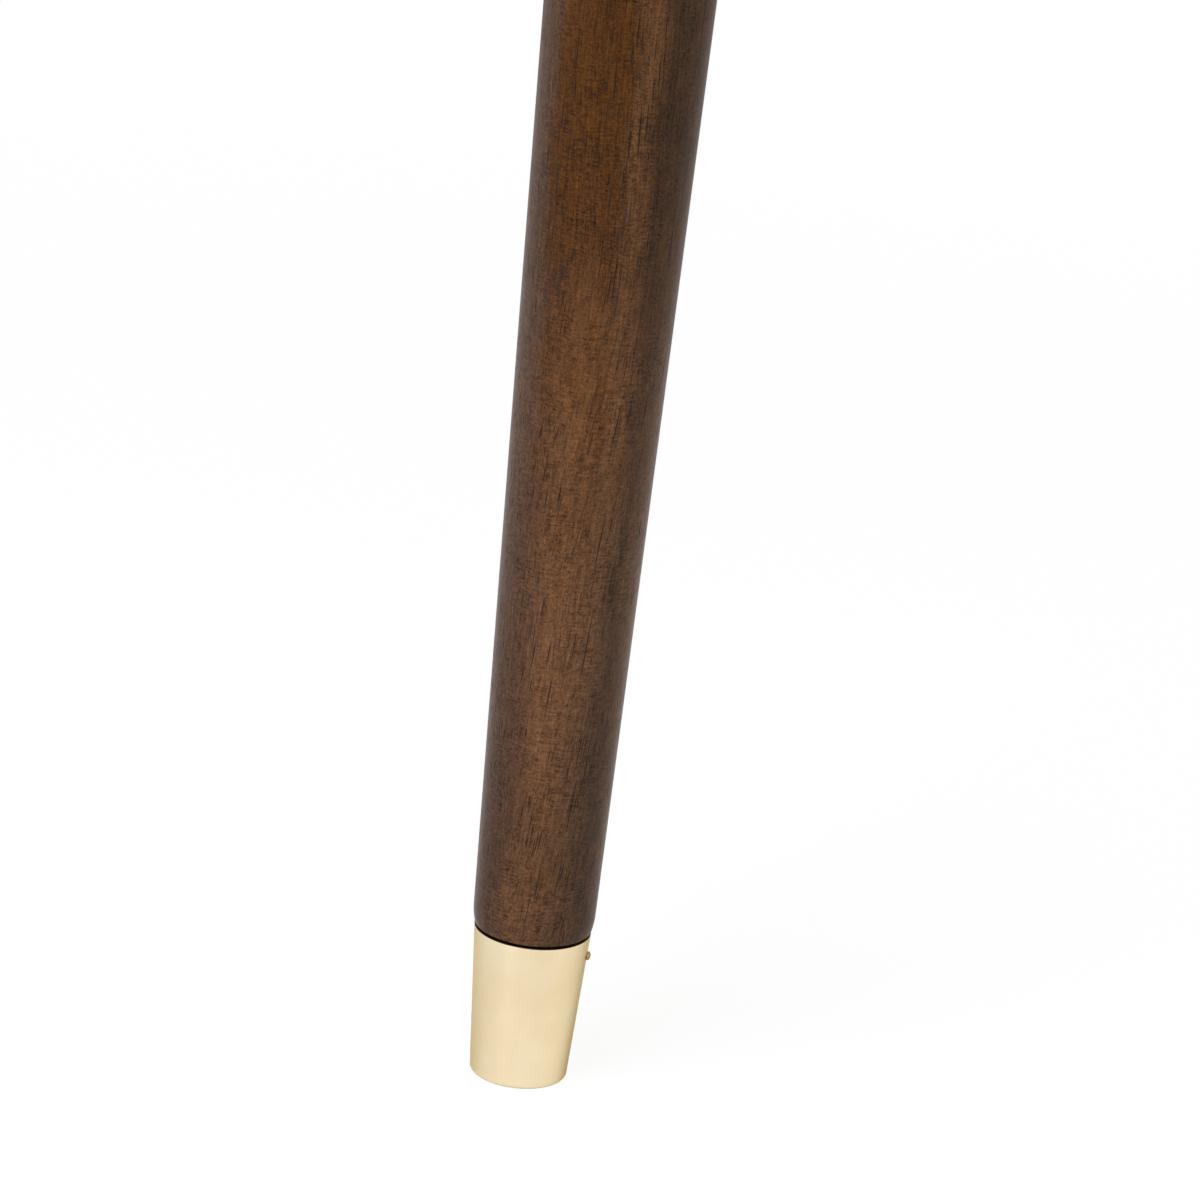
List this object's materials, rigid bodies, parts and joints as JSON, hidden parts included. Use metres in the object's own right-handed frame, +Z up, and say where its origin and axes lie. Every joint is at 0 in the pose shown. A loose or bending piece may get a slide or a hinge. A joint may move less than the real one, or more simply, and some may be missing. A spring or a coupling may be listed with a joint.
{
  "type": "tapered furniture leg",
  "caption": "Round tapered wooden furniture leg with an eased shoulder, a pinned brass ferrule cup at the foot and a hanger bolt stud in its top.",
  "frame": {"origin": "centre of the ferrule's flat underside, where the leg stands", "axes": "+Z up the leg's axis towards the stud, +X towards the ferrule's pin"},
  "size_m": [0.0466, 0.0466, 0.425],
  "materials": {
    "wood": "dark brown stain under satin lacquer",
    "brass": "polished",
    "steel": "bright zinc plate"
  },
  "bodies": {
    "root": {"leg_shaft": "wood", "ferrule": "brass", "ferrule_pin": "brass", "hanger_bolt": "steel"}
  },
  "joints": []
}
